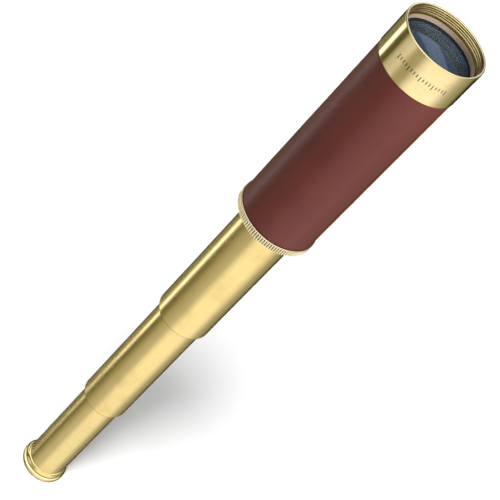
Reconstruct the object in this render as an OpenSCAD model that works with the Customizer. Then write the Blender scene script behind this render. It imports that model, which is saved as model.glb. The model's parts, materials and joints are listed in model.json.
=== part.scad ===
// Hand telescope with three brass draws, drawn out to full length.
// It stands on the rim of its eyepiece cap: Z runs along the optical axis, up towards the objective.
// Everything is turned about Z, so most pieces are rings, tubes and lenses with exact round faces.

/* [Lengths along the axis] */
// Length of the eyepiece cap that shows behind the thinnest draw
cap_len = 5.6; // [5.2:0.1:8]
// Length of the eyepiece draw that shows when it is pulled out
show_3 = 60.2; // [58:0.1:70]
// Length of the middle draw that shows when it is pulled out
show_2 = 73.5; // [70:0.1:90]
// Length of the front draw that shows when it is pulled out
show_1 = 73.7; // [70:0.1:74]
// Length of the knurled ring at the rear of the barrel
knurl_len = 3.6; // [3:0.1:6]
// Length of the leather on the barrel
wrap_len = 93.3; // [93:0.1:120]
// Length of the brass ring at the objective end
ring_len = 17.1; // [17:0.1:22]
// How far a closed draw still stands out of the tube around it
proud = 1.0; // [0.5:0.1:3]

/* [Radii] */
// Outer radius of the objective ring
ring_r = 18.0; // [17.9:0.1:19]
// Outer radius of the leather
wrap_r = 17.8; // [17.6:0.1:17.8]
// Thickness of the leather
wrap_t = 0.8; // [0.6:0.1:1]
// Radius over the ridges of the knurled ring
knurl_r = 18.4; // [18.2:0.1:19]
// Outer radius of the front draw
draw_r1 = 12.95; // [12.9:0.05:13.2]
// Outer radius of the middle draw
draw_r2 = 11.35; // [11.2:0.05:11.4]
// Outer radius of the eyepiece draw
draw_r3 = 9.9; // [9.85:0.05:10]
// Outer radius of the eyepiece cap
cap_r = 11.6; // [11.2:0.1:12]

/* [Walls and fits] */
// Wall of the barrel tube
barrel_wall = 0.8; // [0.6:0.1:1]
// Wall of each draw tube
draw_wall = 0.5; // [0.4:0.05:0.5]
// Radial clearance where a draw or its guide ring runs in a bore
run = 0.03; // [0.01:0.01:0.08]
// Gap left between two pieces that never touch
gap = 0.3; // [0.2:0.05:0.4]

/* [Objective] */
// Radius inside the thread of the mouth
mouth_r = 16.65; // [16.5:0.05:16.8]
// Depth of the threaded part of the mouth
mouth_len = 4.7; // [4:0.1:5]
// Length of the ring that locks the lens cell
lock_len = 1.8; // [1.5:0.1:2]
// Radius of the lens that shows past its cell
clear_r = 15.78; // [15:0.02:15.8]
// Outer radius of the two objective lenses
objective_r = 16.1; // [16:0.05:16.2]
// Radius of the outer face of the crown lens
crown_front_r = 110; // [90:1:140]
// Radius of the face that the crown and flint lenses share
crown_rear_r = 85; // [80:1:120]

/* [Knurl] */
// Number of ridges round the knurled ring, a multiple of four
ridges = 100; // [80:4:120]
// Depth of the grooves between the ridges
ridge_h = 0.35; // [0.2:0.05:0.4]

/* [Hidden] */
$fn = 128;
eps = 0.5;

brass = "#c8a84c";
bright_brass = "#e0c268";
oxblood = "#6b2f2a";
black = "#26262a";
champagne = "#b7a58c";
nylon = "#3a3a3c";
coated_glass = [0.25, 0.36, 0.55, 0.6];
plain_glass = [0.8, 0.88, 0.9, 0.4];

// Heights of the steps, from the eyepiece rim up
z_draw3 = cap_len;
z_draw2 = z_draw3 + show_3;
z_draw1 = z_draw2 + show_2;
z_knurl = z_draw1 + show_1;
z_wrap = z_knurl + knurl_len;
z_ring = z_wrap + wrap_len;
z_rim = z_ring + ring_len;

// Bores of the tubes
barrel_r = wrap_r - wrap_t;
barrel_bore = barrel_r - barrel_wall;
bore_1 = draw_r1 - draw_wall;
bore_2 = draw_r2 - draw_wall;
bore_3 = draw_r3 - draw_wall;

// Bushes in the rear ends of the tubes
barrel_bush_len = 16;
barrel_bush_inset = 0.4;
bush_len_1 = 12;
bush_len_2 = 10;
knurl_bore = 15.2;
knurl_sleeve_len = 6;

// Front ends of the draws. Each closed draw meets what its travel ends against, less the gap.
shoulder_t = 1.0;
tube_socket = 3.6;
z_shoulder = z_ring + tube_socket;
travel_1 = show_1 - proud;
travel_2 = show_2 - proud;
z_front_1 = z_shoulder - gap - travel_1;
baffle_t = 1.4;
baffle_bore_1 = 8.5;
baffle_bore_2 = 7.5;
z_front_2 = z_front_1 - baffle_t - gap - travel_2;
hidden_3 = 24.2;
z_front_3 = z_draw2 + hidden_3;
draw_chamfer = 0.2;

// Guide rings in their grooves
guide_len = 4.0;
groove_side = 0.1;
split_w = 1.6;

// Objective: the cell sits on the shoulder of the ring, and the retaining ring locks it
shoulder_r = 15.4;
cell_step = 0.2;
cell_r = mouth_r - cell_step;
z_cell = z_shoulder + shoulder_t;
z_mouth = z_rim - mouth_len;
z_cell_front = z_mouth - lock_len;
cell_lip_t = 0.7;
z_seat = z_cell_front - cell_lip_t;
z_lens = z_seat - seat_drop(crown_front_r, objective_r, clear_r);
crown_edge_t = 1.5;
z_seam = z_lens - crown_edge_t;
seam_sag = crown_rear_r - sqrt(pow(crown_rear_r, 2) - pow(objective_r, 2));
flint_centre_t = 1.0;
z_flint = z_seam - seam_sag - flint_centre_t;
retaining_bore = 16.0;
slot_w = 1.6;
slot_depth = 0.8;

// How far a round face that ends at radius r stands out past the same face at the smaller radius of its seat
function seat_drop(face_r, r, seat_r) =
    sqrt(face_r * face_r - seat_r * seat_r) - sqrt(face_r * face_r - r * r);

// Erector: two lenses in one tube inside the eyepiece draw, round faces towards each other
erector_bore = 7.2;
erector_lens_r = 8.0;
erector_face_r = 20.7;
erector_edge_t = 1.2;
erector_lock_t = 2.0;
z_erector_rear = 54;
z_erector_front = 78;
erector_flat = erector_edge_t + seat_drop(erector_face_r, erector_lens_r, erector_bore);
erector_end = 0.8;
stop_hole_r = 3.5;
stop_t = 0.8;

// Eyepiece: flat face of the eye lens towards the eye, and the field lens in front of it
eye_hole_r = 4.6;
dish_r = 8.6;
dish_depth = 1.8;
cap_wall_t = 0.8;
cap_bore = 8.2;
cap_sleeve_len = 7;
z_eye_cell = dish_depth + cap_wall_t;
eye_lens_r = 5.4;
eye_face_r = 8.27;
field_lens_r = 7.0;
field_face_r = 10.34;
lens_edge_t = 1.0;
spacer_bore = 4.7;
field_seat_r = 6.4;
eye_lip_t = 0.8;
eye_cell_bore = 4.8;
z_eye_lens = z_eye_cell + eye_lip_t;
z_eye_step = 12.0;
z_field_seat = 14.8;
z_spacer = z_eye_lens + lens_edge_t + seat_drop(eye_face_r, eye_lens_r, spacer_bore);
z_field_flat = z_field_seat + lens_edge_t + seat_drop(field_face_r, field_lens_r, field_seat_r);
z_eye_front = 18.9;
field_stop_bore = 5.0;
field_stop_t = 2.0;

// A ring between two heights
module ring(r_out, r_in, z0, z1) {
    translate([0, 0, z0]) difference() {
        cylinder(h = z1 - z0, r = r_out);
        translate([0, 0, -eps]) cylinder(h = z1 - z0 + 2 * eps, r = r_in);
    }
}

// A ring whose outer edges are broken by a small chamfer at each end
module edged_ring(r_out, r_in, z0, z1, c) {
    rotate_extrude() polygon([
        [r_in, z0], [r_out - c, z0], [r_out, z0 + c],
        [r_out, z1 - c], [r_out - c, z1], [r_in, z1]]);
}

// A lens with one flat face at z_flat and one round face, which bulges up or down
module plano_lens(r, face_r, edge_t, z_flat, up) {
    sag = face_r - sqrt(face_r * face_r - r * r);
    translate([0, 0, z_flat]) mirror([0, 0, up ? 0 : 1]) intersection() {
        cylinder(h = edge_t + sag + eps, r = r);
        translate([0, 0, edge_t + sag - face_r]) sphere(r = face_r, $fn = 256);
    }
}

// The stop ring on the front end of a draw, with the groove that its guide ring turns in
module stop_ring(r, host_bore, floor_r, z0, z1) {
    g0 = groove_z(z0, z1) - groove_side;
    g1 = g0 + guide_len + 2 * groove_side;
    rotate_extrude() polygon([
        [r, z0], [host_bore - gap, z0], [host_bore - gap, g0], [floor_r, g0],
        [floor_r, g1], [host_bore - gap, g1], [host_bore - gap, z1], [r, z1]]);
}

// The split guide ring that turns in the groove and runs in the tube around it
module guide_ring(host_bore, floor_r, z0, z1) {
    g0 = groove_z(z0, z1);
    difference() {
        ring(host_bore - run, floor_r + run, g0, g0 + guide_len);
        translate([0, -split_w / 2, g0 - eps]) cube([host_bore + eps, split_w, guide_len + 2 * eps]);
    }
}
function groove_z(z0, z1) = (z0 + z1 - guide_len) / 2;

// Heights and groove floors of the three stop rings, which end a little behind the draws' front edges
set_back = 0.3;
stop_z1 = z_knurl + barrel_bush_len + gap;
stop_z2 = z_draw1 + bush_len_1 + gap;
stop_z3 = z_draw2 + bush_len_2 + gap;
stop_top1 = z_front_1 - set_back;
stop_top2 = z_front_2 - set_back;
stop_top3 = z_front_3 - set_back;
floor_h1 = 0.8;
floor_h2 = 0.25;
floor_h3 = 0.2;
floor_1 = draw_r1 + floor_h1;
floor_2 = draw_r2 + floor_h2;
floor_3 = draw_r3 + floor_h3;

// Brass ring round the objective: threaded mouth, seat for the lens cell and socket for the barrel tube
module objective_ring() {
    edge = 0.35;
    color(bright_brass) rotate_extrude() polygon([
        [barrel_r, z_ring], [ring_r - edge, z_ring], [ring_r, z_ring + edge],
        [ring_r, z_rim - edge], [ring_r - edge, z_rim], [mouth_r + edge, z_rim],
        [mouth_r, z_rim - edge], [mouth_r, z_mouth], [cell_r, z_mouth], [cell_r, z_cell],
        [shoulder_r, z_cell], [shoulder_r, z_shoulder], [barrel_r, z_shoulder]]);
}

// Black cell that holds the two objective lenses behind a thin front lip
module lens_cell() {
    color(black) rotate_extrude() polygon([
        [objective_r, z_cell], [cell_r, z_cell], [cell_r, z_cell_front],
        [clear_r, z_cell_front], [clear_r, z_seat], [objective_r, z_seat]]);
}

// Front lens of the objective, round on both faces
module crown_lens() {
    front_sag = crown_front_r - sqrt(pow(crown_front_r, 2) - pow(objective_r, 2));
    color(coated_glass) intersection() {
        translate([0, 0, z_seam - seam_sag - eps])
            cylinder(h = crown_edge_t + seam_sag + front_sag + 2 * eps, r = objective_r);
        translate([0, 0, z_lens + front_sag - crown_front_r]) sphere(r = crown_front_r, $fn = 512);
        translate([0, 0, z_seam - seam_sag + crown_rear_r]) sphere(r = crown_rear_r, $fn = 512);
    }
}

// Rear lens of the objective, hollow at the front to take the crown lens, and flat behind
module flint_lens() {
    color(plain_glass) difference() {
        translate([0, 0, z_flint]) cylinder(h = z_seam - z_flint, r = objective_r);
        translate([0, 0, z_seam - seam_sag + crown_rear_r]) sphere(r = crown_rear_r, $fn = 512);
    }
}

// Black ring that locks the lenses in their cell from behind
module cell_rear_ring() {
    color(black) ring(objective_r, shoulder_r, z_cell, z_flint);
}

// Matt ring screwed into the mouth to lock the cell, with two slots for a spanner
module retaining_ring() {
    color(champagne) difference() {
        ring(cell_r, retaining_bore, z_cell_front, z_mouth);
        translate([-cell_r - eps, -slot_w / 2, z_mouth - slot_depth])
            cube([2 * cell_r + 2 * eps, slot_w, slot_depth + eps]);
    }
}

// Brass tube of the barrel, under the leather
module barrel_tube() {
    color(brass) ring(barrel_r, barrel_bore, z_wrap, z_shoulder);
}

// Leather wrapped round the barrel tube
module leather_wrap() {
    edge = 0.15;
    color(oxblood) edged_ring(wrap_r, barrel_r, z_wrap, z_ring, edge);
}

// Outline of the straight knurl: one flat-topped ridge for each step round the ring.
// A ridge's corners are given as a share of the step and a share of the ridge's height.
module knurl_outline() {
    root_r = knurl_r - ridge_h;
    step = 360 / ridges;
    corners = [[0.04, 0], [0.26, 1], [0.74, 1], [0.96, 0]];
    polygon([for (i = [0 : ridges - 1]) for (p = corners)
        let (r = root_r + p[1] * ridge_h, a = (i + p[0] - 0.5) * step) [r * cos(a), r * sin(a)]]);
}

// Knurled ring screwed into the rear end of the barrel tube, with a plain lip on each side
module knurled_ring() {
    lip = 0.3;
    front_lip = 0.5;
    front_lip_r = knurl_r - 0.1;
    color(bright_brass) {
        difference() {
            translate([0, 0, z_knurl + lip]) linear_extrude(knurl_len - lip - front_lip) knurl_outline();
            translate([0, 0, z_knurl]) cylinder(h = knurl_len, r = knurl_bore);
        }
        rotate_extrude() polygon([
            [knurl_bore, z_knurl], [knurl_r - ridge_h - lip, z_knurl], [knurl_r - ridge_h, z_knurl + lip],
            [knurl_bore, z_knurl + lip]]);
        ring(front_lip_r, knurl_bore, z_wrap - front_lip, z_wrap);
        ring(barrel_bore, knurl_bore, z_wrap, z_wrap + knurl_sleeve_len);
    }
}

// Bush in the rear of the barrel, which the front draw slides through
module barrel_bush() {
    z0 = z_knurl + barrel_bush_inset;
    z1 = z_knurl + barrel_bush_len;
    z_step = z_wrap + knurl_sleeve_len;
    color(brass) rotate_extrude() polygon([
        [draw_r1 + run, z0], [knurl_bore, z0], [knurl_bore, z_step],
        [barrel_bore, z_step], [barrel_bore, z1], [draw_r1 + run, z1]]);
}

// Front draw and its pieces
module guide_ring_1() { color(nylon) guide_ring(barrel_bore, floor_1, stop_z1, stop_top1); }
module draw_tube_1() { color(brass) edged_ring(draw_r1, bore_1, z_draw1, z_front_1, draw_chamfer); }
module stop_ring_1() { color(brass) stop_ring(draw_r1, barrel_bore, floor_1, stop_z1, stop_top1); }
module draw_baffle_1() { color(black) ring(bore_1, baffle_bore_1, z_front_1 - baffle_t, z_front_1); }
module draw_bush_1() { color(brass) ring(bore_1, draw_r2 + run, z_draw1, z_draw1 + bush_len_1); }

// Middle draw and its pieces
module guide_ring_2() { color(nylon) guide_ring(bore_1, floor_2, stop_z2, stop_top2); }
module draw_tube_2() { color(brass) edged_ring(draw_r2, bore_2, z_draw2, z_front_2, draw_chamfer); }
module stop_ring_2() { color(brass) stop_ring(draw_r2, bore_1, floor_2, stop_z2, stop_top2); }
module draw_baffle_2() { color(black) ring(bore_2, baffle_bore_2, z_front_2 - baffle_t, z_front_2); }
module draw_bush_2() { color(brass) ring(bore_2, draw_r3 + run, z_draw2, z_draw2 + bush_len_2); }

// Eyepiece draw and its stop ring
module guide_ring_3() { color(nylon) guide_ring(bore_2, floor_3, stop_z3, stop_top3); }
module draw_tube_3() { color(brass) ring(draw_r3, bore_3, z_draw3, z_front_3); }
module stop_ring_3() { color(brass) stop_ring(draw_r3, bore_2, floor_3, stop_z3, stop_top3); }

// Tube that holds the two erector lenses, with a seat at each end
module erector_tube() {
    seat = erector_flat + erector_lock_t + erector_end;
    z0 = z_erector_rear - seat;
    z1 = z_erector_front + seat;
    color(black) rotate_extrude() polygon([
        [erector_lens_r, z0], [bore_3, z0], [bore_3, z1], [erector_lens_r, z1],
        [erector_lens_r, z_erector_front], [erector_bore, z_erector_front],
        [erector_bore, z_erector_rear], [erector_lens_r, z_erector_rear]]);
}

module erector_front_lens() {
    color(plain_glass) plano_lens(erector_lens_r, erector_face_r, erector_edge_t,
        z_erector_front + erector_flat, false);
}

module erector_rear_lens() {
    color(plain_glass) plano_lens(erector_lens_r, erector_face_r, erector_edge_t,
        z_erector_rear - erector_flat, true);
}

// Rings that lock the erector lenses on their seats
module erector_front_lock() {
    z0 = z_erector_front + erector_flat;
    color(black) ring(erector_lens_r, erector_bore, z0, z0 + erector_lock_t);
}

module erector_rear_lock() {
    z1 = z_erector_rear - erector_flat;
    color(black) ring(erector_lens_r, erector_bore, z1 - erector_lock_t, z1);
}

// Disc with a small hole between the erector lenses, which keeps stray light out
module erector_stop() {
    z0 = (z_erector_front + z_erector_rear) / 2;
    color(black) ring(erector_bore, stop_hole_r, z0, z0 + stop_t);
}

// Eyepiece cap: dished face with the eye hole, rounded rim, hollow neck, bead, and a sleeve inside the draw
module eyepiece_cap() {
    rim_top = 2.1;
    rim_round = 1.0;
    rim_edge = 0.1;
    land = 0.9;
    neck_r = draw_r3 + 0.1;
    bead_r = draw_r3 + 0.35;
    bead = 0.6;
    bead_edge = 0.15;
    neck_z = cap_len - bead;
    cove_r = cap_r - rim_edge;
    cove = [for (i = [1 : 7]) let (a = 90 * i / 8)
        [cove_r - (cove_r - neck_r) * sin(a), neck_z - (neck_z - rim_top) * cos(a)]];
    rim = [for (i = [0 : 6]) let (a = 90 * i / 6)
        [cap_r - rim_round + rim_round * sin(a), land - land * cos(a)]];
    color(bright_brass) rotate_extrude() polygon(concat(
        [[eye_hole_r, dish_depth], [dish_r, 0]], rim, [[cap_r, rim_top]], cove,
        [[neck_r, neck_z], [bead_r - bead_edge, neck_z], [bead_r, neck_z + bead_edge],
         [bead_r, cap_len - bead_edge], [bead_r - bead_edge, cap_len], [bore_3, cap_len],
         [bore_3, cap_len + cap_sleeve_len], [cap_bore, cap_len + cap_sleeve_len],
         [cap_bore, z_eye_cell], [eye_hole_r, z_eye_cell]]));
}

// Black cell inside the cap, stepped for the two eyepiece lenses
module eyepiece_cell() {
    color(black) rotate_extrude() polygon([
        [eye_cell_bore, z_eye_cell], [cap_bore, z_eye_cell], [cap_bore, z_eye_front],
        [field_lens_r, z_eye_front], [field_lens_r, z_field_seat], [field_seat_r, z_field_seat],
        [field_seat_r, z_eye_step], [eye_lens_r, z_eye_step],
        [eye_lens_r, z_eye_lens], [eye_cell_bore, z_eye_lens]]);
}

module eye_lens() {
    color(coated_glass) plano_lens(eye_lens_r, eye_face_r, lens_edge_t, z_eye_lens, true);
}

// Tube that keeps the eye lens against the lip of the cell
module eyepiece_spacer() {
    color(black) ring(eye_lens_r, spacer_bore, z_spacer, z_eye_step);
}

module field_lens() {
    color(plain_glass) plano_lens(field_lens_r, field_face_r, lens_edge_t, z_field_flat, false);
}

// Ring that locks the field lens and frames the view
module field_stop() {
    color(black) ring(field_lens_r, field_stop_bore, z_field_flat, z_field_flat + field_stop_t);
}

objective_ring();
lens_cell();
crown_lens();
flint_lens();
cell_rear_ring();
retaining_ring();
barrel_tube();
leather_wrap();
knurled_ring();
barrel_bush();
guide_ring_1();
draw_tube_1();
stop_ring_1();
draw_baffle_1();
draw_bush_1();
guide_ring_2();
draw_tube_2();
stop_ring_2();
draw_baffle_2();
draw_bush_2();
guide_ring_3();
draw_tube_3();
stop_ring_3();
erector_tube();
erector_front_lens();
erector_front_lock();
erector_stop();
erector_rear_lens();
erector_rear_lock();
eyepiece_cap();
eyepiece_cell();
eye_lens();
eyepiece_spacer();
field_lens();
field_stop();
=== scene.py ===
import json
import math

import bmesh
import bpy
from mathutils import Matrix, Vector

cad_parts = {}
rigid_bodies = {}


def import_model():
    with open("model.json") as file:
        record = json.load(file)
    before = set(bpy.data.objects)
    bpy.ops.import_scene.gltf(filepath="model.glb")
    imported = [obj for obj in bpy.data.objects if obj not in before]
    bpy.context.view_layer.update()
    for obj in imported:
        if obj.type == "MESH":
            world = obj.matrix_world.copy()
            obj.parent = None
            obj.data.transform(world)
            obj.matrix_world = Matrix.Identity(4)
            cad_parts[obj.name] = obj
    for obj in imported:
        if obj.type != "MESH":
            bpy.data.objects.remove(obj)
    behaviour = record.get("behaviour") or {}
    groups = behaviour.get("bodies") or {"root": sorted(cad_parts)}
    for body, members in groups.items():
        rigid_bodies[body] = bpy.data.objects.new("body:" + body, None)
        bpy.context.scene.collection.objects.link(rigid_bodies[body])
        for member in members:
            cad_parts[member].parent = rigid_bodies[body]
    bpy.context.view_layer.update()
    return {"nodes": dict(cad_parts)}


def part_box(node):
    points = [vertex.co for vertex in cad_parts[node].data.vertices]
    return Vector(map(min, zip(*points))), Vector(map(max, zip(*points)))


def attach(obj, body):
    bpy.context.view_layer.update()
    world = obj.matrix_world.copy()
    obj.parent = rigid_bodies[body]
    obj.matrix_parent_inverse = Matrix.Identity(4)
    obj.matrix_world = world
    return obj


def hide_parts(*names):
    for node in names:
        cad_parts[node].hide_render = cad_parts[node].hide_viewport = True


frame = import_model()

# ------------------------------------------------------------------------------------------------------------
# Camera. It looks down at the front of the telescope and is rolled over, so that the standing telescope runs
# from the lower left corner of the picture to the upper right one.
camera = bpy.data.objects.new("camera", bpy.data.cameras.new("camera"))
camera.data.lens = 109.4
camera.data.sensor_width = 36
camera.data.clip_start = 0.01
camera.location = (0.0012, -0.4865, 0.5987)
camera_tilt = Matrix.Rotation(math.radians(50.1), 3, "X")
camera_roll = Matrix.Rotation(math.radians(43.8), 3, "Z")
camera.rotation_euler = (camera_tilt @ camera_roll).to_euler()
bpy.context.scene.collection.objects.link(camera)
bpy.context.scene.camera = camera


# ------------------------------------------------------------------------------------------------------------
# Floor and light. A soft sun that lights only the white floor gives the shadow, and area lights light the
# telescope. The brass and the glass mirror a tent of pale panels, which is drawn by the world's shader.
def node(tree, kind, inputs=None, **settings):
    """A new node with its settings made and its inputs set or linked."""
    made = tree.nodes.new(kind)
    for key, value in settings.items():
        setattr(made, key, value)
    for key, value in (inputs or {}).items():
        if isinstance(value, bpy.types.NodeSocket):
            tree.links.new(value, made.inputs[key])
        else:
            made.inputs[key].default_value = value
    return made


def maths(tree, operation, a, b=0.0, c=0.0):
    """The result of one Math node."""
    return node(tree, "ShaderNodeMath", {0: a, 1: b, 2: c}, operation=operation).outputs[0]


def stepped(tree, value, low, high, out_low=0.0, out_high=1.0):
    """A value that goes smoothly from out_low to out_high as the given one goes from low to high."""
    inputs = {"Value": value, "From Min": low, "From Max": high, "To Min": out_low, "To Max": out_high}
    return node(tree, "ShaderNodeMapRange", inputs, interpolation_type="SMOOTHSTEP").outputs[0]


def mixed(tree, factor, a, b):
    """A colour between a and b."""
    a, b = [(*colour, 1) if isinstance(colour, tuple) else colour for colour in (a, b)]
    return node(tree, "ShaderNodeMix", {0: factor, 6: a, 7: b}, data_type="RGBA").outputs[2]


def placed(tree, scale=(1, 1, 1)):
    """Object coordinates, stretched by scale."""
    where = node(tree, "ShaderNodeTexCoord").outputs["Object"]
    return node(tree, "ShaderNodeMapping", {"Vector": where, "Scale": scale}).outputs[0]


def noise(tree, vector, scale, detail=2.0, rough=0.5):
    """The grey value of a Noise texture."""
    inputs = {"Vector": vector, "Scale": scale, "Detail": detail, "Roughness": rough}
    return node(tree, "ShaderNodeTexNoise", inputs).outputs[0]


def material(name, colour, **uniform):
    """A material, its tree and its shader, with what is the same all over set on the shader's sockets."""
    made = bpy.data.materials.new(name)
    made.use_nodes = True
    shader = made.node_tree.nodes["Principled BSDF"]
    shader.inputs["Base Color"].default_value = (*colour, 1)
    for key, value in uniform.items():
        shader.inputs[key.replace("_", " ").title().replace("Ior", "IOR")].default_value = value
    return made, made.node_tree, shader


floor_white, tree, shader = material("floor_white", (0.93, 0.93, 0.93), roughness=0.8)
speckle = noise(tree, placed(tree), 60, 4)
tree.links.new(mixed(tree, speckle, (0.91, 0.91, 0.91), (0.95, 0.95, 0.95)), shader.inputs["Base Color"])
bpy.ops.mesh.primitive_circle_add(vertices=96, radius=8, fill_type="NGON")
floor = bpy.context.object
floor.name = "floor"
floor_gap = 0.00005
floor.location.z = -floor_gap
floor.data.materials.append(floor_white)
floor.visible_glossy = False
floor.visible_diffuse = False

lit_point = Vector((0, 0, 0.12))
floor_only = bpy.data.collections.new("floor_only")
floor_only.objects.link(floor)
telescope_only = bpy.data.collections.new("telescope_only")


def soft_box(name, place, size, watts, lit=None):
    """An area light that faces the telescope, isn't mirrored, and lights one collection or else all."""
    lamp = bpy.data.objects.new(name, bpy.data.lights.new(name, "AREA"))
    lamp.data.size = size
    lamp.data.energy = watts
    lamp.location = place
    lamp.rotation_euler = (Vector(place) - lit_point).to_track_quat("Z", "Y").to_euler()
    lamp.visible_glossy = False
    lamp.light_linking.receiver_collection = lit
    bpy.context.scene.collection.objects.link(lamp)


soft_box("front_box", (0.9, -0.85, 0.8), 0.8, 32, telescope_only)
soft_box("left_box", (-1.15, -0.08, 0.4), 0.7, 8, telescope_only)
soft_box("top_box", (0.1, 0.6, 1.8), 1.6, 3)
sun_way = Vector((-0.15, -0.82, 2.2))
shadow_sun = bpy.data.objects.new("shadow_sun", bpy.data.lights.new("shadow_sun", "SUN"))
shadow_sun.data.energy = 2.85
shadow_sun.data.angle = math.radians(12)
shadow_sun.rotation_euler = sun_way.to_track_quat("Z", "Y").to_euler()
shadow_sun.light_linking.receiver_collection = floor_only
bpy.context.scene.collection.objects.link(shadow_sun)

world = bpy.data.worlds.new("tent")
world.use_nodes = True
bpy.context.scene.world = world
bpy.context.scene.view_settings.view_transform = "Standard"
tree = world.node_tree
way = node(tree, "ShaderNodeSeparateXYZ", {0: node(tree, "ShaderNodeTexCoord").outputs["Generated"]})
height = way.outputs["Z"]
bearing = maths(tree, "ARCTAN2", way.outputs["Y"], way.outputs["X"])
lean_height = -0.6


def panel(middle, half, edge, level, lean=0.0):
    """The light of one panel: its middle, half width and soft edge in degrees of bearing, and its lean."""
    along = maths(tree, "MULTIPLY_ADD", height, lean, -lean_height * lean - math.radians(middle))
    across = maths(tree, "COSINE", maths(tree, "ADD", bearing, along))
    return stepped(tree, across, math.cos(math.radians(half + edge)), math.cos(math.radians(half)), 0, level)


# The walls, slightly warm: a broad panel in front, a narrow bright strip on the left, and grey gaps between.
front = maths(tree, "ADD", panel(-44, 25, 34, 0.62), panel(-64, 30, 76, 0.5))
right_edge = panel(26, 8, 22, 0.22)
left_edge = maths(tree, "ADD", panel(144, 10, 26, 0.12), panel(90, 16, 26, -0.1))
strip = maths(tree, "MULTIPLY", panel(169, 2, 8, 2.5, 1.2), stepped(tree, height, -0.745, -0.7, 0.22, 1.0))
strip = maths(tree, "MULTIPLY", strip, stepped(tree, height, -0.62, -0.54, 1.0, 0.75))
narrow = maths(tree, "ADD", panel(-147, 7, 18, 0.46), panel(-108, 4, 12, -0.14))
narrow = maths(tree, "MULTIPLY", narrow, stepped(tree, height, -0.63, -0.54))
low_fill = maths(tree, "MULTIPLY", panel(-130, 16, 26, 0.22), stepped(tree, height, -0.76, -0.72, 1, 0))
tent = 0.11
for light in front, right_edge, left_edge, strip, narrow, low_fill:
    tent = maths(tree, "ADD", tent, light)
low_part = stepped(tree, height, -0.82, -0.7, 0.8, 1.0)
underside = stepped(tree, height, -0.97, -0.84, 0.5, 1.0)
tent = maths(tree, "MULTIPLY", tent, maths(tree, "MULTIPLY", low_part, underside))
green = maths(tree, "MULTIPLY", tent, 0.97)
blue = maths(tree, "MULTIPLY", tent, stepped(tree, tent, 0.1, 0.7, 0.5, 1.0))
sides = node(tree, "ShaderNodeCombineColor", {0: tent, 1: green, 2: blue}).outputs[0]

# The roof: pale in front, and behind it a dim lid with one slanting bright patch, for the objective lens.
patch_lean = -1.19
slant = maths(tree, "MULTIPLY_ADD", way.outputs["X"], patch_lean, height)
patch = maths(tree, "MULTIPLY", stepped(tree, slant, 0.43, 0.455), stepped(tree, slant, 0.615, 0.585))
glow = maths(tree, "MULTIPLY", stepped(tree, slant, 0.28, 0.36), stepped(tree, slant, 0.76, 0.64))
lid = mixed(tree, glow, (0.10, 0.10, 0.12), (0.30, 0.37, 0.46))
lid = mixed(tree, patch, lid, (1.15, 1.2, 1.35))
behind = stepped(tree, way.outputs["Y"], 0.4, 0.6)
overhead = stepped(tree, height, 0.45, 0.9, 0.3, 2.0)
pale = node(tree, "ShaderNodeCombineColor", {0: overhead, 1: overhead, 2: overhead}).outputs[0]
roof = mixed(tree, behind, pale, lid)
seen = mixed(tree, stepped(tree, height, -0.05, 0.2), sides, roof)

# Matt surfaces get an even grey light, and the camera sees plain white.
rays = node(tree, "ShaderNodeLightPath").outputs
seen = mixed(tree, rays["Is Diffuse Ray"], seen, (0.25, 0.25, 0.25))
backdrop = mixed(tree, rays["Is Camera Ray"], seen, (0.95, 0.95, 0.95))
tree.links.new(backdrop, tree.nodes["Background"].inputs["Color"])

# ------------------------------------------------------------------------------------------------------------
# Eyepiece cap. Turned from brass bar and polished: a dished face round the eye hole, a rounded rim to grip,
# a hollow neck and a small bead. Its sleeve is screwed into the rear end of the eyepiece draw.
mm = 0.001


def span(name):
    """The lowest height, the highest height and the outer radius of a CAD node, in millimetres."""
    low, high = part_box(name)
    return low.z / mm, high.z / mm, high.x / mm


def arc(centre_r, centre_z, radius, start, end, steps=8):
    """Points (r, z) along part of a circle, between two angles in degrees; 0 points away from the axis."""
    angles = [math.radians(start + (end - start) * i / steps) for i in range(steps + 1)]
    return [(centre_r + radius * math.cos(a), centre_z + radius * math.sin(a)) for a in angles]


def finished(name, shape, *materials):
    """The object of a bmesh, with its doubles merged, its faces outward and its flat edges kept sharp."""
    bmesh.ops.remove_doubles(shape, verts=shape.verts, dist=0.0002 * mm)
    bmesh.ops.recalc_face_normals(shape, faces=shape.faces)
    mesh = bpy.data.meshes.new(name)
    shape.to_mesh(mesh)
    shape.free()
    for finish in materials:
        mesh.materials.append(finish)
    mesh.shade_smooth()
    mesh.set_sharp_from_angle(angle=math.radians(35))
    made = bpy.data.objects.new(name, mesh)
    bpy.context.scene.collection.objects.link(made)
    return made


def held(outline, stretch=0.8, close=0.05):
    """The outline with a point just inside each end of its long stretches, which keeps their shading flat."""
    kept = []
    for before, after in zip(outline[-1:] + outline[:-1], outline):
        length = math.dist(before, after)
        if length > stretch:
            for t in close / length, 1 - close / length:
                kept.append((before[0] + (after[0] - before[0]) * t, before[1] + (after[1] - before[1]) * t))
        kept.append(after)
    return kept


def turned(name, outline, *materials, angles=None, change=None, pick=None):
    """A ring with a closed outline of (r, z) points in millimetres, turned about the Z axis.
    change(r, z, angle) may give a point another place, and pick(r, z, angle) is a face's material number."""
    if angles is None:
        angles = [math.tau * i / 192 for i in range(192)]
    outline = held(outline)
    shape = bmesh.new()
    columns = []
    for angle in angles:
        points = [change(r, z, angle) for r, z in outline] if change else outline
        columns.append([shape.verts.new((r * mm * math.cos(angle), r * mm * math.sin(angle), z * mm))
                        for r, z in points])
    for before, column in zip(columns[-1:] + columns[:-1], columns):
        for k in range(len(outline)):
            face = shape.faces.new((before[k - 1], column[k - 1], column[k], before[k]))
            if pick:
                middle = face.calc_center_median() / mm
                r = math.hypot(middle.x, middle.y)
                face.material_index = int(pick(r, middle.z, math.atan2(middle.y, middle.x)))
    return finished(name, shape, *materials)


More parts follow.
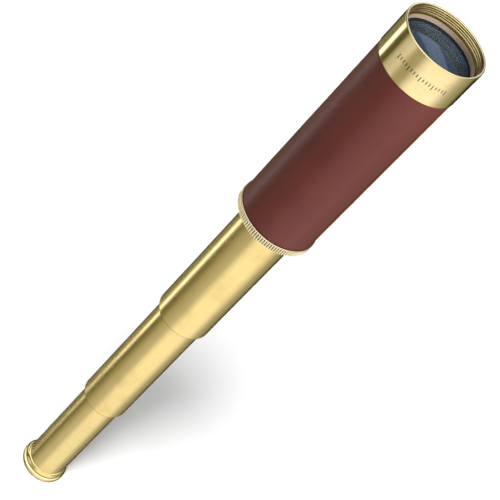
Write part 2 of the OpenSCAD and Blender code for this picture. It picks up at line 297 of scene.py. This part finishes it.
def brass(name, grain, roughness, colour=(0.90, 0.75, 0.37), dark=(0.74, 0.56, 0.20)):
    """Lacquered brass. The lines of its last polish run round the piece, or along it if grain is "drawn"."""
    made, tree, shader = material(name, colour, metallic=1.0, coat_weight=0.35, coat_roughness=0.12)
    drag = 0.012
    fine = (1, 1, drag) if grain == "drawn" else (drag, drag, 1)
    lines = noise(tree, placed(tree, fine), 9000, 3, 0.6)
    bands = noise(tree, placed(tree, fine), 1400, 2)
    tarnish = noise(tree, placed(tree), 70, 5, 0.6)
    specks = noise(tree, placed(tree), 900, 3, 0.7)
    patches = stepped(tree, tarnish, 0.45, 0.75, 0, 0.55)
    toned = mixed(tree, patches, colour, dark)
    toned = mixed(tree, stepped(tree, bands, 0.35, 0.7, 0, 0.18), toned, dark)
    toned = mixed(tree, stepped(tree, specks, 0.68, 0.78, 0, 0.5), toned, (0.34, 0.22, 0.08))
    tree.links.new(toned, shader.inputs["Base Color"])
    dulled = stepped(tree, tarnish, 0.4, 0.8, -0.02, 0.07)
    uneven = maths(tree, "ADD", dulled, stepped(tree, lines, 0.3, 0.7, -0.03, 0.03))
    tree.links.new(maths(tree, "ADD", uneven, roughness), shader.inputs["Roughness"])
    bump = node(tree, "ShaderNodeBump", {"Height": lines, "Strength": 0.25, "Distance": 0.01 * mm})
    tree.links.new(bump.outputs[0], shader.inputs["Normal"])
    return made


sleeve_top, cap_r = span("eyepiece_cap")[1:]
draw_rear, _, draw_r3 = span("draw_tube_3")
draw_wall = 0.5
sleeve_r = draw_r3 - draw_wall
cap_bore = 8.2
eye_hole_r = 4.6
dish_r = 8.8
dish_z = 1.8
dish_lip = 0.08
dish_floor = 2.6
rim_foot = dish_r + 0.12
rim_round = 1.1
rim_top = 2.15
rim_edge = 0.2
rim_flat = 0.25
neck_r = draw_r3 + 0.1
bead_h = 0.35
bead_z = draw_rear - bead_h
cove_h = bead_z - bead_h - rim_top - rim_edge
cove_depth = cap_r - rim_flat - neck_r
cove = [(neck_r + cove_depth * (1 - math.sin(a)), rim_top + rim_edge + cove_h * (1 - math.cos(a)))
        for a in [math.radians(90 * i / 12) for i in range(1, 13)]]
dish = [(dish_r - (dish_r - eye_hole_r) * t, dish_lip + (dish_z - dish_lip) * math.sin(math.radians(90 * t)))
        for t in [i / 10 for i in range(11)]]
polished_brass = brass("polished_brass", "turned", 0.13)
cap = turned("eyepiece_cap_turned", (
    dish + [(eye_hole_r, dish_floor), (cap_bore, dish_floor), (cap_bore, sleeve_top), (sleeve_r, sleeve_top)]
    + [(sleeve_r, draw_rear)] + arc(neck_r, bead_z, bead_h, 90, -90, 10) + cove[::-1]
    + arc(cap_r - rim_edge, rim_top, rim_edge, 80, 0, 4)
    + arc(cap_r - rim_round, rim_round, rim_round, 0, -90, 10) + [(rim_foot, 0)]), polished_brass)
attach(cap, "eyepiece_draw")
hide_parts("eyepiece_cap")

# ------------------------------------------------------------------------------------------------------------
# Eyepiece. A black anodised cell inside the cap holds the eye lens and the field lens, with a spacer tube
# between them and a stop ring that frames the view. Only the eye lens shows, through the hole in the cap.


def dress(finish, *names):
    """Gives CAD nodes that stay a finished material."""
    for name in names:
        mesh = frame["nodes"][name].data
        mesh.materials.clear()
        mesh.materials.append(finish)


black_anodised, tree, shader = material("black_anodised", (0.012, 0.012, 0.014), roughness=0.5, metallic=0.0)
pores = noise(tree, placed(tree), 2500, 3, 0.7)
tree.links.new(mixed(tree, pores, (0.008, 0.008, 0.010), (0.022, 0.021, 0.022)), shader.inputs["Base Color"])
tree.links.new(stepped(tree, pores, 0.3, 0.7, 0.42, 0.6), shader.inputs["Roughness"])
dress(black_anodised, "eyepiece_cell", "eyepiece_spacer", "field_stop")


def glass(name, tint, coating, clear=1.0, **more):
    """Optical glass with a slight haze, and with a coating that tints its mirror images."""
    made, tree, shader = material(name, tint, roughness=0.01, ior=1.6, transmission_weight=clear, **more)
    shader.inputs["Specular Tint"].default_value = (*coating, 1)
    haze = noise(tree, placed(tree), 120, 3)
    tree.links.new(mixed(tree, haze, tint, tuple(0.85 * c for c in tint)), shader.inputs["Base Color"])
    tree.links.new(stepped(tree, haze, 0.5, 0.8, 0.01, 0.05), shader.inputs["Roughness"])
    return made


plain_glass = glass("plain_glass", (0.93, 0.97, 0.96), (1.0, 1.0, 1.0))
eye_glass = glass("eye_glass", (0.72, 0.78, 0.95), (0.55, 0.62, 1.0))
dress(eye_glass, "eye_lens")
dress(plain_glass, "field_lens")

# ------------------------------------------------------------------------------------------------------------
# Draw tubes. Three thin seamless brass tubes, drawn and then polished lengthwise to a satin. The rear end of
# the two larger ones is rounded over and painted dark as shade, and the next smaller tube comes out of it.
draw_brass = brass("draw_brass", "drawn", 0.24, colour=(0.87, 0.69, 0.27))
# Dark brass that paints shade: on the draws' rounded rear ends, between the knurl's ridges and behind the
# thread.
painted_shade_brass = brass("painted_shade_brass", "turned", 0.5, colour=(0.22, 0.16, 0.06), dark=(0.10, 0.07, 0.03))
shoulder = 0.45
front_edge = 0.15
for number, body in (1, "front_draw"), (2, "middle_draw"), (3, "eyepiece_draw"):
    z0, z1, r = span(f"draw_tube_{number}")
    if number < 3:
        dark_r = r
        rear_end = arc(r - shoulder, z0 + shoulder, shoulder, 0, -90, 6) + [(r - draw_wall, z0)]
    else:
        dark_r = 0
        rear_end = [(r, z0), (r - draw_wall, z0)]
    front_end = [(r - draw_wall, z1)] + arc(r - front_edge, z1 - front_edge, front_edge, 90, 0, 4)
    tube = turned(f"draw_tube_{number}_drawn", rear_end + front_end, draw_brass, painted_shade_brass,
                  pick=lambda r, z, angle: z < z0 + shoulder and r < dark_r)
    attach(tube, body)
    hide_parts(f"draw_tube_{number}")

# ------------------------------------------------------------------------------------------------------------
# Inside the draws. Plain turned brass bushes and stop rings, split nylon guide rings, black baffles, and the
# erector: a black tube with a lens and a lock ring at each end and a stop disc between them.
plain_brass = brass("plain_brass", "turned", 0.32, colour=(0.72, 0.53, 0.22), dark=(0.52, 0.35, 0.12))
dress(plain_brass, "barrel_bush", "draw_bush_1", "draw_bush_2", "stop_ring_1", "stop_ring_2", "stop_ring_3")
nylon, tree, shader = material("nylon", (0.05, 0.05, 0.055), roughness=0.45, subsurface_weight=0.05)
flow = noise(tree, placed(tree, (1, 1, 0.2)), 500, 3)
tree.links.new(mixed(tree, flow, (0.035, 0.035, 0.038), (0.07, 0.07, 0.074)), shader.inputs["Base Color"])
dress(nylon, "guide_ring_1", "guide_ring_2", "guide_ring_3")
dress(black_anodised, "draw_baffle_1", "draw_baffle_2", "erector_tube", "erector_front_lock",
      "erector_rear_lock", "erector_stop")
dress(plain_glass, "erector_front_lens", "erector_rear_lens")


# ------------------------------------------------------------------------------------------------------------
# Knurled ring. Turned brass with a straight knurl, screwed into the rear of the barrel. The knurl is a row of
# rounded ridges, and a narrow plain lip is left next to the leather. Its brass is painted pale, as a
# highlight, and between the ridges and on the lip's side by the leather it is painted dark, as shade.
def grown(name, base, finish, make, sizes):
    """A plain mesh grown on a base mesh by a Geometry Nodes tree, with one named input for each size.
    What grows gets the given finish, and the base keeps its second and later finishes where it has them."""
    tree = bpy.data.node_groups.new(name, "GeometryNodeTree")
    tree.interface.new_socket("Geometry", in_out="INPUT", socket_type="NodeSocketGeometry")
    tree.interface.new_socket("Geometry", in_out="OUTPUT", socket_type="NodeSocketGeometry")
    kinds = {int: "NodeSocketInt", float: "NodeSocketFloat"}
    sockets = {key: tree.interface.new_socket(key, in_out="INPUT", socket_type=kinds[type(value)])
               for key, value in sizes.items()}
    given = tree.nodes.new("NodeGroupInput").outputs
    joined = node(tree, "GeometryNodeJoinGeometry", {0: given["Geometry"]})
    tree.links.new(make(tree, given), joined.inputs[0])
    plain = node(tree, "GeometryNodeRealizeInstances", {"Geometry": joined.outputs[0]})
    kept = False
    for other in base.data.materials[1:]:
        chosen = node(tree, "GeometryNodeMaterialSelection", {"Material": other}).outputs[0]
        kept = node(tree, "FunctionNodeBooleanMath", {0: kept, 1: chosen}, operation="OR").outputs[0]
    others = node(tree, "FunctionNodeBooleanMath", {0: kept}, operation="NOT").outputs[0]
    coloured = node(tree, "GeometryNodeSetMaterial", {
        "Geometry": plain.outputs[0], "Selection": others, "Material": finish})
    tree.links.new(coloured.outputs[0], tree.nodes.new("NodeGroupOutput").inputs[0])
    growth = base.modifiers.new(name, "NODES")
    growth.node_group = tree
    for key, socket in sockets.items():
        growth[socket.identifier] = sizes[key]
    bpy.context.view_layer.update()
    mesh = bpy.data.meshes.new_from_object(base.evaluated_get(bpy.context.evaluated_depsgraph_get()))
    made = bpy.data.objects.new(name, mesh)
    bpy.context.scene.collection.objects.link(made)
    bpy.data.objects.remove(base)
    mesh.shade_smooth()
    mesh.set_sharp_from_angle(angle=math.radians(50))
    return made


def ridges(tree, given):
    """Upright rounded bars, one for each ridge, half sunk in the ring."""
    bar_line = node(tree, "GeometryNodeCurvePrimitiveLine", {"Start": (0, 0, 0)}, mode="DIRECTION")
    bar_line.inputs["Direction"].default_value = (0, 0, 1)
    tree.links.new(given["Ridge length"], bar_line.inputs["Length"])
    round_bar = node(tree, "GeometryNodeCurvePrimitiveCircle", {
        "Resolution": 10, "Radius": given["Ridge radius"]})
    bar = node(tree, "GeometryNodeCurveToMesh", {
        "Curve": bar_line.outputs[0], "Profile Curve": round_bar.outputs[0], "Fill Caps": True})
    circle = node(tree, "GeometryNodeMeshCircle", {
        "Vertices": given["Ridges"], "Radius": given["Root radius"]})
    lift = node(tree, "ShaderNodeCombineXYZ", {2: given["Ridge bottom"]})
    raised = node(tree, "GeometryNodeTransform", {
        "Geometry": circle.outputs[0], "Translation": lift.outputs[0]})
    return node(tree, "GeometryNodeInstanceOnPoints", {
        "Points": raised.outputs[0], "Instance": bar.outputs[0]}).outputs[0]


knurl_z0, sleeve_end, knurl_r = span("knurled_ring")
knurl_z1 = span("leather_wrap")[0]
knurl_bore = 15.2
knurl_sleeve_r = 16.2
ridge_count = 100
ridge_r = 0.41
ridge_z0 = knurl_z0 + 0.25
root_r = knurl_r - ridge_r
root_edge = 0.3
root_face = 0.1
lip_z = knurl_z1 - 0.5
lip_slope = 0.12
lip_inset = 0.3
lip_round = (knurl_z1 - lip_z) / 2
ridge_z1 = lip_z + 0.05
shade_reach = 0.05
# The knurled ring's brass is paler than the rest, as a painted highlight.
painted_highlight_brass = brass("painted_highlight_brass", "turned", 0.2, colour=(1.0, 0.92, 0.62), dark=(0.9, 0.76, 0.42))
blank = turned("knurl_blank", (
    [(knurl_bore, knurl_z0), (root_r - root_edge - root_face, knurl_z0)]
    + arc(root_r - root_edge, knurl_z0 + root_edge, root_edge, -60, 0, 4)
    + [(root_r, lip_z - lip_slope), (knurl_r - lip_inset, lip_z)]
    + arc(knurl_r - lip_inset, lip_z + lip_round, lip_round, -80, 80, 8)
    + [(knurl_r - 2 * lip_inset, knurl_z1), (knurl_sleeve_r, knurl_z1), (knurl_sleeve_r, sleeve_end)]
    + [(knurl_bore, sleeve_end)]), painted_highlight_brass, painted_shade_brass,
    pick=lambda r, z, angle: abs(r - root_r) < shade_reach and z > knurl_z0 + root_edge)
knurl = grown("knurled_ring_cut", blank, painted_highlight_brass, ridges, {
    "Ridges": ridge_count, "Root radius": root_r * mm, "Ridge radius": ridge_r * mm,
    "Ridge bottom": ridge_z0 * mm, "Ridge length": (ridge_z1 - ridge_z0) * mm})
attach(knurl, "barrel")
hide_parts("knurled_ring")

# ------------------------------------------------------------------------------------------------------------
# Leather. One sheet of smooth oxblood hide, glued round the barrel tube with its edges butted in a straight
# seam at the back. Both ends are pressed down where they meet the brass.
wrap_z0, wrap_z1, wrap_r = span("leather_wrap")
tube_r = span("barrel_tube")[2]
seam_angle = math.pi / 2
seam_half = 0.3
seam_depth = 0.22
end_fold = 0.3
glued = 0.2
wave_h = 0.02
hide_rows = [wrap_z0 + end_fold + (wrap_z1 - wrap_z0 - 2 * end_fold) * i / 120 for i in range(121)]
seam_columns = [seam_angle + step * seam_half / 3 / wrap_r for step in range(-3, 4)]


def spread(count, start, added, middles, gap):
    """Sorted angles: the added ones, and count even ones from start, less those within gap of a middle."""
    even = [start + math.tau * i / count for i in range(count)]
    return sorted(added + [a for a in even if min(abs(a - middle) for middle in middles) > gap])


def hide_surface(r, z, angle):
    """A point of the hide, moved by the shallow wave from the hand that glued it and by the pressed seam."""
    if r < tube_r + glued:
        return r, z
    wave = wave_h * math.sin(3 * angle + z / 9) * math.sin(z / 13 + 2 * angle) - wave_h
    off_seam = min(1, abs(angle - seam_angle) * wrap_r / seam_half)
    return r + wave - seam_depth * (1 - off_seam ** 2) ** 2, z


leather, tree, shader = material(
    "oxblood_leather", (0.11, 0.025, 0.019), coat_weight=0.05, coat_roughness=0.3, specular_ior_level=0.38)
shader.inputs["Specular Tint"].default_value = (1.0, 0.88, 0.84, 1)
pebbles = node(tree, "ShaderNodeTexVoronoi", {"Vector": placed(tree), "Scale": 1700, "Randomness": 0.9},
               feature="DISTANCE_TO_EDGE").outputs[0]
creases = noise(tree, placed(tree, (1, 1, 0.6)), 420, 5, 0.65)
dye = noise(tree, placed(tree), 28, 4)
dyed = mixed(tree, stepped(tree, dye, 0.3, 0.7), (0.082, 0.0142, 0.0098), (0.100, 0.0195, 0.014))
worn = mixed(tree, stepped(tree, creases, 0.5, 0.75, 0, 0.35), dyed, (0.060, 0.011, 0.008))
# The low lines of the grain are painted darker, as shade in the hollows.
valleys = stepped(tree, pebbles, 0.0, 0.12)
deep = mixed(tree, 0.35, worn, (0.06, 0.014, 0.012))
tree.links.new(mixed(tree, valleys, deep, worn), shader.inputs["Base Color"])
creased = stepped(tree, creases, 0.3, 0.8, 0.31, 0.42)
uneven = maths(tree, "ADD", creased, stepped(tree, dye, 0.3, 0.7, -0.03, 0.03))
tree.links.new(uneven, shader.inputs["Roughness"])
grain = maths(tree, "ADD", maths(tree, "MULTIPLY", valleys, 0.5), creases)
bump = node(tree, "ShaderNodeBump", {"Height": grain, "Strength": 0.35, "Distance": 0.03 * mm})
tree.links.new(bump.outputs[0], shader.inputs["Normal"])
hide_angles = spread(240, 0, seam_columns, [seam_angle], gap=1.5 * seam_half / wrap_r)
hide = turned("leather_cover", (
    [(tube_r, wrap_z1), (tube_r, wrap_z0)]
    + arc(wrap_r - end_fold, wrap_z0 + end_fold, end_fold, -90, 0, 4)[:-1] + [(wrap_r, z) for z in hide_rows]
    + arc(wrap_r - end_fold, wrap_z1 - end_fold, end_fold, 0, 90, 4)[1:]),
    leather, angles=hide_angles, change=hide_surface)
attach(hide, "barrel")
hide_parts("leather_wrap")

# ------------------------------------------------------------------------------------------------------------
# Barrel tube. A brass tube that is hidden by the leather and painted matt black against stray light. Its
# front end is screwed into the objective ring.
black_paint, tree, shader = material("black_paint", (0.01, 0.01, 0.01), roughness=0.85)
paint = noise(tree, placed(tree), 1500, 4, 0.7)
tree.links.new(mixed(tree, paint, (0.006, 0.006, 0.007), (0.016, 0.016, 0.017)), shader.inputs["Base Color"])
dress(black_paint, "barrel_tube")

# ------------------------------------------------------------------------------------------------------------
# Objective ring. Polished brass turned in one piece, with a plain rounded lip and a screw thread inside the
# mouth. A row of fine marks, like a setting scale, is cut into the front of its wall and filled with black.
ring_z0, rim_z, ring_r = span("objective_ring")
mouth_z = span("retaining_ring")[1]
cell_z0, _, cell_r = span("lens_cell")
tube_top = span("barrel_tube")[1]
seat_r = 15.4
rear_edge = 0.25
lip_edge = 0.35
mouth_edge = 0.3
thread_wall = 17.0
mark_count = 17
mark_step = math.radians(4.5)
mark_middle = math.radians(-81.5)
mark_half_w = 0.17
mark_depth = 0.15
mark_slope = 0.05
mark_top = rim_z - 7.75
long_mark_z = mark_top - 2.3
short_mark_z = mark_top - 1.5
end_slope = 0.04
near = 0.02
marks = [mark_middle + (i - mark_count // 2) * mark_step for i in range(mark_count)]
mark_rows = [long_mark_z, long_mark_z + end_slope, short_mark_z, short_mark_z + end_slope,
             mark_top - end_slope, mark_top]
mark_columns = [mark + side / ring_r for mark in marks
                for side in (-mark_half_w, mark_slope - mark_half_w, mark_half_w - mark_slope, mark_half_w)]


def mark_sunk(r, z, angle):
    """Whether a point of the outer wall lies inside one of the cut marks. Every fourth mark is longer."""
    if r < ring_r - mark_depth - near or z > mark_top - near:
        return False
    nearest = round((angle - marks[0]) / mark_step)
    if not 0 <= nearest < mark_count or abs(angle - marks[nearest]) * ring_r > mark_half_w - near:
        return False
    return z > near + (long_mark_z if nearest % 4 == 0 else short_mark_z)


def ring_finish(r, z, angle):
    """Black paint in the marks, and brass painted dark behind the crests of the thread, as shade."""
    if long_mark_z < z < mark_top and ring_r - mark_depth - near < r < ring_r - near:
        return 1
    return 2 if mouth_z < z < rim_z - lip_edge and abs(r - thread_wall) < near else 0


ring_blank = turned("objective_ring_blank", (
    [(tube_r, ring_z0), (ring_r - rear_edge, ring_z0), (ring_r, ring_z0 + rear_edge)]
    + [(ring_r, z) for z in mark_rows] + arc(ring_r - lip_edge, rim_z - lip_edge, lip_edge, 0, 90, 6)
    + arc(thread_wall + mouth_edge, rim_z - mouth_edge, mouth_edge, 90, 180, 5)
    + [(thread_wall, mouth_z), (cell_r, mouth_z), (cell_r, cell_z0), (seat_r, cell_z0)]
    + [(seat_r, tube_top), (tube_r, tube_top)]), polished_brass, black_paint, painted_shade_brass,
    angles=spread(192, -math.pi, mark_columns, marks, gap=mark_half_w / ring_r),
    change=lambda r, z, angle: (r - mark_depth if mark_sunk(r, z, angle) else r, z), pick=ring_finish)


def spiral(tree, given):
    """A thread with rounded crests, standing out of the wall of the mouth and run out at both ends."""
    run = node(tree, "GeometryNodeCurveSpiral", {
        "Resolution": 96, "Rotations": given["Turns"], "Start Radius": given["Wall radius"],
        "End Radius": given["Wall radius"], "Height": given["Thread height"]})
    along = node(tree, "GeometryNodeSplineParameter").outputs["Factor"]
    taper = 0.05
    tip = 0.1
    run_in = stepped(tree, along, 0, taper, tip, 1)
    run_out = stepped(tree, along, 1 - taper, 1, 1, tip)
    crest_scale = maths(tree, "MULTIPLY", run_in, run_out)
    crest = node(tree, "GeometryNodeCurvePrimitiveCircle", {
        "Resolution": 12, "Radius": given["Crest radius"]})
    turns = node(tree, "GeometryNodeCurveToMesh", {
        "Curve": run.outputs[0], "Profile Curve": crest.outputs[0], "Scale": crest_scale, "Fill Caps": True})
    lift = node(tree, "ShaderNodeCombineXYZ", {2: given["Thread bottom"]})
    return node(tree, "GeometryNodeTransform", {
        "Geometry": turns.outputs[0], "Translation": lift.outputs[0]}).outputs[0]


crest_r = 0.34
thread_pitch = 0.93
thread_turns = 3.9
ring = grown("objective_ring_threaded", ring_blank, polished_brass, spiral, {
    "Turns": thread_turns, "Wall radius": thread_wall * mm, "Thread height": thread_turns * thread_pitch * mm,
    "Crest radius": crest_r * mm, "Thread bottom": (mouth_z + crest_r) * mm})
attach(ring, "barrel")
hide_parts("objective_ring")

# ------------------------------------------------------------------------------------------------------------
# Retaining ring. Thin brass with a matt champagne finish, screwed in behind the thread to lock the lens cell.
# Its bore keeps the fine grooves of the turning tool, and two slots take a spanner.
matt_ring, tree, shader = material("matt_champagne", (0.46, 0.36, 0.26), metallic=0.35)
fuzz = noise(tree, placed(tree, (0.05, 0.05, 1)), 4000, 3, 0.6)
tree.links.new(mixed(tree, fuzz, (0.36, 0.28, 0.20), (0.54, 0.44, 0.33)), shader.inputs["Base Color"])
tree.links.new(stepped(tree, fuzz, 0.3, 0.7, 0.42, 0.6), shader.inputs["Roughness"])
lock_z0, lock_z1, lock_r = span("retaining_ring")
lock_bore = 16.0
groove_pitch = 0.4
groove_depth = 0.1
groove_land = 0.2
groove_slope = 0.06
first_land = lock_z1 - 0.05
grooves = []
for i in range(int((lock_z1 - lock_z0) / groove_pitch)):
    land_z = first_land - i * groove_pitch
    floor_z1 = land_z - groove_land - groove_slope
    floor_z0 = land_z - groove_pitch + groove_slope
    grooves += [(lock_bore, land_z), (lock_bore, land_z - groove_land)]
    grooves += [(lock_bore + groove_depth, floor_z1), (lock_bore + groove_depth, floor_z0)]
slot_half = 0.8
slot_depth = 0.8
slot_wall = 0.02
slot_columns = [side + step / lock_r for side in (0, math.pi)
                for step in (-slot_half - slot_wall, -slot_half, slot_half, slot_half + slot_wall)]


def slotted(r, z, angle):
    """A point of the retaining ring, lowered to the floor of a slot where the angle lies inside one."""
    in_slot = abs(math.sin(angle)) * lock_r < slot_half + slot_wall / 2
    return r, min(z, lock_z1 - slot_depth) if in_slot else z


lock_angles = spread(192, -math.pi / 2, slot_columns, slot_columns, gap=0.01)
lock = turned("retaining_ring_grooved", (
    [(lock_r, lock_z0), (lock_r, lock_z1)] + grooves + [(lock_bore, lock_z0)]),
    matt_ring, angles=lock_angles, change=slotted)
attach(lock, "barrel")
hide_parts("retaining_ring")

# ------------------------------------------------------------------------------------------------------------
# Objective lens. Two glasses cemented together in a black cell. The front one has a blue coating and mirrors
# the tent faintly, in deep blue.
dress(black_anodised, "lens_cell", "cell_rear_ring")
dress(plain_glass, "flint_lens")
lens_top, lens_r = span("crown_lens")[1:]
front_curve = 110
rear_curve = 85
lens_edge_h = 1.5


def bulge(curve, r):
    """How far a lens face stands above its edge at a distance r from the axis."""
    return math.sqrt(curve ** 2 - r ** 2) - math.sqrt(curve ** 2 - lens_r ** 2)


lens_edge_z = lens_top - bulge(front_curve, 0)
radii = [lens_r * i / 32 for i in range(33)]
front_face = [(r, lens_edge_z + bulge(front_curve, r)) for r in radii[::-1]]
rear_face = [(r, lens_edge_z - lens_edge_h - bulge(rear_curve, r)) for r in radii]
coated_glass = glass("coated_glass", (0.16, 0.24, 0.34), (0.35, 0.6, 1.0), 0.9, specular_ior_level=0.5)
lens = turned("crown_lens_coated", front_face + rear_face, coated_glass)
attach(lens, "barrel")
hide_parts("crown_lens")

for shown in list(bpy.context.scene.objects):
    if shown.type == "MESH" and shown != floor:
        telescope_only.objects.link(shown)
